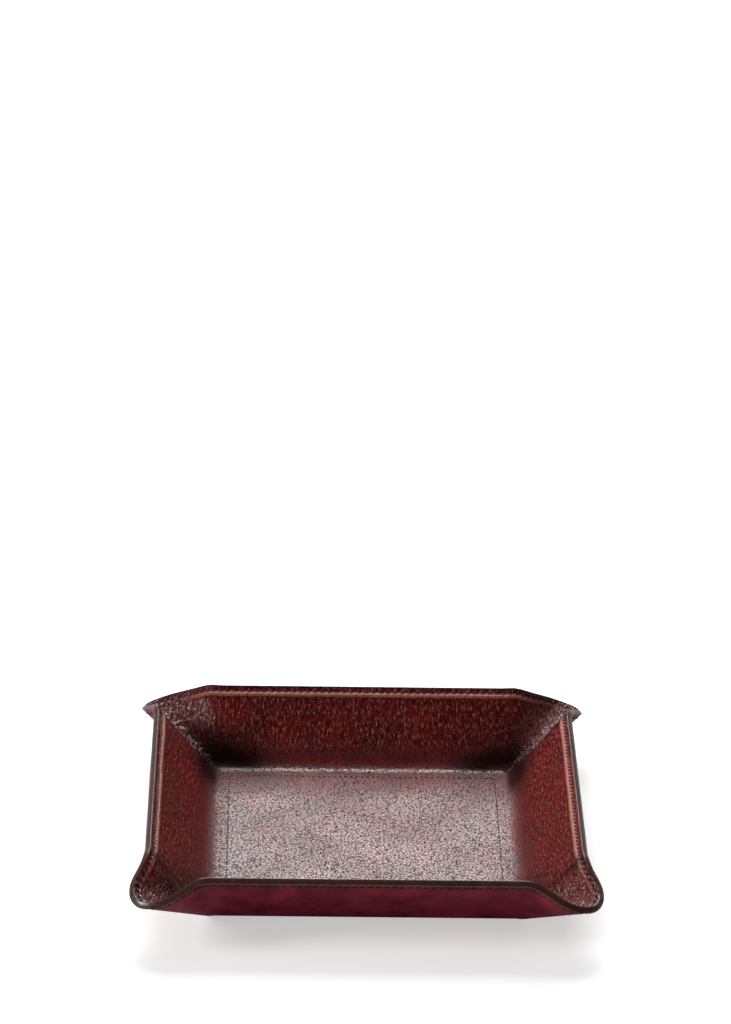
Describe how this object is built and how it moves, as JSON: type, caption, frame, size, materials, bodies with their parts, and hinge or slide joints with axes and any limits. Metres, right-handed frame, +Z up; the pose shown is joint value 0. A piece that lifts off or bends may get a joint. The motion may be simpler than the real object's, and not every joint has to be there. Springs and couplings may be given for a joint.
{
  "type": "valet tray",
  "caption": "Square open leather tray with sloping stitched walls, four flared lipped corners and a rounded painted edge, for keys, coins and small things.",
  "frame": {"origin": "centre of the underside, where the tray rests", "axes": "+Z up out of the open top, -Y towards the front wall, +X to the right"},
  "size_m": [0.2058, 0.2058, 0.0329],
  "materials": {
    "lining_leather": "polished oxblood full-grain leather",
    "outer_leather": "smooth dark wine leather, satin",
    "board": "grey-brown fibre board, matte",
    "stiffener": "pressed bonded fibre, matte",
    "edge_paint": "grey-brown flexible edge paint, satin",
    "thread": "waxed dark brown thread"
  },
  "bodies": {
    "root": {"lining_leather": "lining_leather", "outer_leather": "outer_leather", "floor_board": "board", "front_wall_board": "board", "back_wall_board": "board", "left_wall_board": "board", "right_wall_board": "board", "front_left_ear_stiffener": "stiffener", "front_right_ear_stiffener": "stiffener", "back_left_ear_stiffener": "stiffener", "back_right_ear_stiffener": "stiffener", "edge_paint": "edge_paint", "rim_thread_inside": "thread", "rim_thread_outside": "thread", "floor_thread_inside": "thread", "floor_thread_underneath": "thread"}
  },
  "joints": []
}
